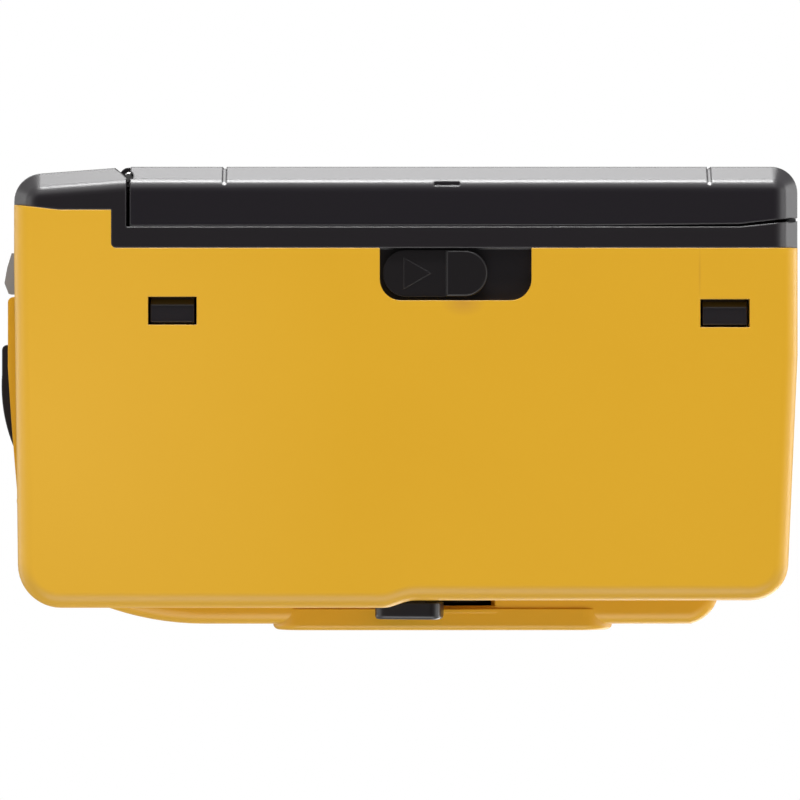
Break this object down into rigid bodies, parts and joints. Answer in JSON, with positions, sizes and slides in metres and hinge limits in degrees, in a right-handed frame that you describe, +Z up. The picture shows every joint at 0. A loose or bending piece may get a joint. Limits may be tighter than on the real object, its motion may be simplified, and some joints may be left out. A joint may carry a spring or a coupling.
{
  "type": "compact film camera",
  "caption": "Compact film camera with hinged film door, sliding latch, lens cover lever, push buttons, battery door with catch and a geared film winding train.",
  "frame": {"origin": "middle of the flat underside, halfway between the two sides of the body", "axes": "+Z up, -Y the way the lens looks, +X towards the battery side, -X towards the grip side"},
  "size_m": [0.1299, 0.0762, 0.0793],
  "materials": {
    "yellow_plastic": "injection moulded, semi-gloss",
    "black_plastic": "injection moulded, satin",
    "black_gloss_plastic": "injection moulded, gloss",
    "chassis_plastic": "moulded glass-filled plastic, matt black",
    "gear_plastic": "moulded natural acetal",
    "white_plastic": "printed disc",
    "red_lens": "clear red moulding",
    "steel": "bright rolled steel",
    "plated_steel": "bright plated",
    "spring_brass": "rolled strip",
    "blackened_metal": "thin blackened sheet",
    "optical_glass": "polished and coated",
    "clear_plastic": "clear moulding",
    "smoked_plastic": "tinted moulding",
    "polished_aluminium": "polished sheet",
    "cell_can": "plain sleeved can",
    "circuit_board": "laminate with solder resist",
    "rubber": "soft moulding",
    "foam": "soft light-seal foam"
  },
  "bodies": {
    "body": {"front_shell": "yellow_plastic", "top_cover": "yellow_plastic", "rear_frame": "black_plastic", "hinge_pin": "steel", "chassis": "chassis_plastic", "winding_motor": "steel", "lens_barrel": "black_plastic", "lens_screws": "plated_steel", "shutter_housing": "chassis_plastic", "lens_bezel": "black_gloss_plastic", "latch_spring": "steel", "shutter_spring": "steel", "top_board": "circuit_board", "counter_window": "clear_plastic", "finder_fascia": "black_gloss_plastic", "fascia_windows": "clear_plastic", "timer_lamp": "red_lens", "finder_tunnel": "chassis_plastic", "eyepiece_glass": "clear_plastic", "eyepiece_frame": "rubber", "flash_window": "clear_plastic", "flash_reflector": "polished_aluminium", "flash_tube": "optical_glass", "flash_capacitor": "cell_can", "main_board": "circuit_board", "battery_box": "chassis_plastic", "battery_cell_front": "cell_can", "battery_cell_rear": "cell_can", "battery_contacts": "spring_brass", "battery_hinge_pin": "steel", "strap_lug": "plated_steel", "case_screws": "plated_steel"},
    "film_door": {"film_door": "black_plastic", "door_window": "smoked_plastic", "door_seal": "foam"},
    "pressure_plate": {"pressure_plate": "blackened_metal", "pressure_spring": "steel"},
    "latch": {"latch_slider": "black_plastic", "latch_bar": "steel"},
    "shutter_button": {"shutter_button": "black_gloss_plastic"},
    "flash_button": {"flash_button": "black_gloss_plastic"},
    "timer_button": {"timer_button": "black_gloss_plastic"},
    "rewind_button": {"rewind_button": "black_plastic"},
    "cover_lever": {"cover_lever": "black_plastic"},
    "cover_blade_upper": {"cover_blade_upper": "blackened_metal"},
    "cover_blade_lower": {"cover_blade_lower": "blackened_metal"},
    "shutter_blade_grip": {"shutter_blade_grip": "blackened_metal"},
    "shutter_blade_battery": {"shutter_blade_battery": "blackened_metal"},
    "lens_cell": {"lens_cell": "black_gloss_plastic", "front_glass": "optical_glass", "rear_glass": "optical_glass"},
    "takeup_spool": {"takeup_spool": "chassis_plastic", "spool_gear": "gear_plastic"},
    "idler_gear": {"idler_gear": "gear_plastic"},
    "motor_pinion": {"motor_pinion": "gear_plastic"},
    "sprocket": {"sprocket": "chassis_plastic"},
    "counter_disc": {"counter_disc": "white_plastic"},
    "rewind_fork": {"rewind_fork": "chassis_plastic"},
    "battery_door": {"battery_door": "yellow_plastic"},
    "battery_catch": {"battery_catch": "black_plastic"}
  },
  "joints": [
    {"name": "film_door_hinge", "type": "hinge", "parent": "body", "child": "film_door", "pos_m": [0.0445, 0.0336, 0.032], "axis": [0, 0, -1], "range_deg": [0, 100]},
    {"name": "pressure_plate_float", "type": "slide", "parent": "film_door", "child": "pressure_plate", "axis": [0, 1, 0], "range_m": [0, 0.0006], "stiffness_N_per_m": 300, "springref_m": -0.001},
    {"name": "latch_slide", "type": "slide", "parent": "body", "child": "latch", "axis": [-1, 0, 0], "range_m": [0, 0.0064], "stiffness_N_per_m": 200, "springref_m": -0.002},
    {"name": "shutter_press", "type": "slide", "parent": "body", "child": "shutter_button", "axis": [0, 0, -1], "range_m": [0, 0.0012], "stiffness_N_per_m": 400, "springref_m": -0.001, "deforming": ["shutter_spring"]},
    {"name": "flash_press", "type": "slide", "parent": "body", "child": "flash_button", "axis": [0, 0, -1], "range_m": [0, 0.0006], "stiffness_N_per_m": 300, "springref_m": -0.001},
    {"name": "timer_press", "type": "slide", "parent": "body", "child": "timer_button", "axis": [0, 0, -1], "range_m": [0, 0.0006], "stiffness_N_per_m": 300, "springref_m": -0.001},
    {"name": "rewind_press", "type": "slide", "parent": "body", "child": "rewind_button", "axis": [0, -1, 0], "range_m": [0, 0.0008], "stiffness_N_per_m": 300, "springref_m": -0.001},
    {"name": "cover_lever_turn", "type": "hinge", "parent": "body", "child": "cover_lever", "pos_m": [-0.006, -0.0365, 0.037], "axis": [0, 1, 0], "range_deg": [0, 21]},
    {"name": "cover_blade_upper_swing", "type": "hinge", "parent": "body", "child": "cover_blade_upper", "pos_m": [0.0095, -0.0387, 0.037], "axis": [0, -1, 0], "range_deg": [0, 38]},
    {"name": "cover_blade_lower_swing", "type": "hinge", "parent": "body", "child": "cover_blade_lower", "pos_m": [0.0095, -0.0379, 0.037], "axis": [0, 1, 0], "range_deg": [0, 38]},
    {"name": "shutter_blade_grip_swing", "type": "hinge", "parent": "body", "child": "shutter_blade_grip", "pos_m": [-0.006, -0.017, 0.0485], "axis": [0, 1, 0], "range_deg": [0, 26]},
    {"name": "shutter_blade_battery_swing", "type": "hinge", "parent": "body", "child": "shutter_blade_battery", "pos_m": [-0.006, -0.016, 0.0485], "axis": [0, -1, 0], "range_deg": [0, 26]},
    {"name": "focus_slide", "type": "slide", "parent": "body", "child": "lens_cell", "axis": [0, -1, 0], "range_m": [0, 0.0012]},
    {"name": "spool_turn", "type": "hinge", "parent": "body", "child": "takeup_spool", "pos_m": [-0.0492, 0.0098, 0.02], "axis": [0, 0, 1], "continuous": true},
    {"name": "idler_turn", "type": "hinge", "parent": "body", "child": "idler_gear", "pos_m": [-0.04146, -0.00607, 0.0069], "axis": [0, 0, 1], "continuous": true},
    {"name": "pinion_turn", "type": "hinge", "parent": "body", "child": "motor_pinion", "pos_m": [-0.03589, -0.0175, 0.0069], "axis": [0, 0, 1], "continuous": true},
    {"name": "sprocket_turn", "type": "hinge", "parent": "body", "child": "sprocket", "pos_m": [-0.0316, 0.015, 0.037], "axis": [0, 0, 1], "continuous": true},
    {"name": "counter_turn", "type": "hinge", "parent": "body", "child": "counter_disc", "pos_m": [-0.026, 0.008, 0.0734], "axis": [0, 0, 1], "continuous": true},
    {"name": "fork_turn", "type": "hinge", "parent": "body", "child": "rewind_fork", "pos_m": [0.029, 0.0094, 0.008], "axis": [0, 0, 1], "continuous": true},
    {"name": "battery_door_hinge", "type": "hinge", "parent": "body", "child": "battery_door", "pos_m": [0.0616, -0.0186, 0.0348], "axis": [0, 0, -1], "range_deg": [0, 90]},
    {"name": "battery_catch_slide", "type": "slide", "parent": "battery_door", "child": "battery_catch", "axis": [0, -1, 0], "range_m": [0, 0.003], "stiffness_N_per_m": 200, "springref_m": -0.002}
  ],
  "couplings": [
    {"joint": "cover_blade_upper_swing", "follows": "cover_lever_turn", "ratio": 1.8095},
    {"joint": "cover_blade_lower_swing", "follows": "cover_lever_turn", "ratio": 1.8095},
    {"joint": "shutter_blade_battery_swing", "follows": "shutter_blade_grip_swing", "ratio": 1},
    {"joint": "idler_turn", "follows": "spool_turn", "ratio": -0.88235},
    {"joint": "pinion_turn", "follows": "spool_turn", "ratio": 2.5},
    {"joint": "counter_turn", "follows": "sprocket_turn", "ratio": -0.025}
  ]
}
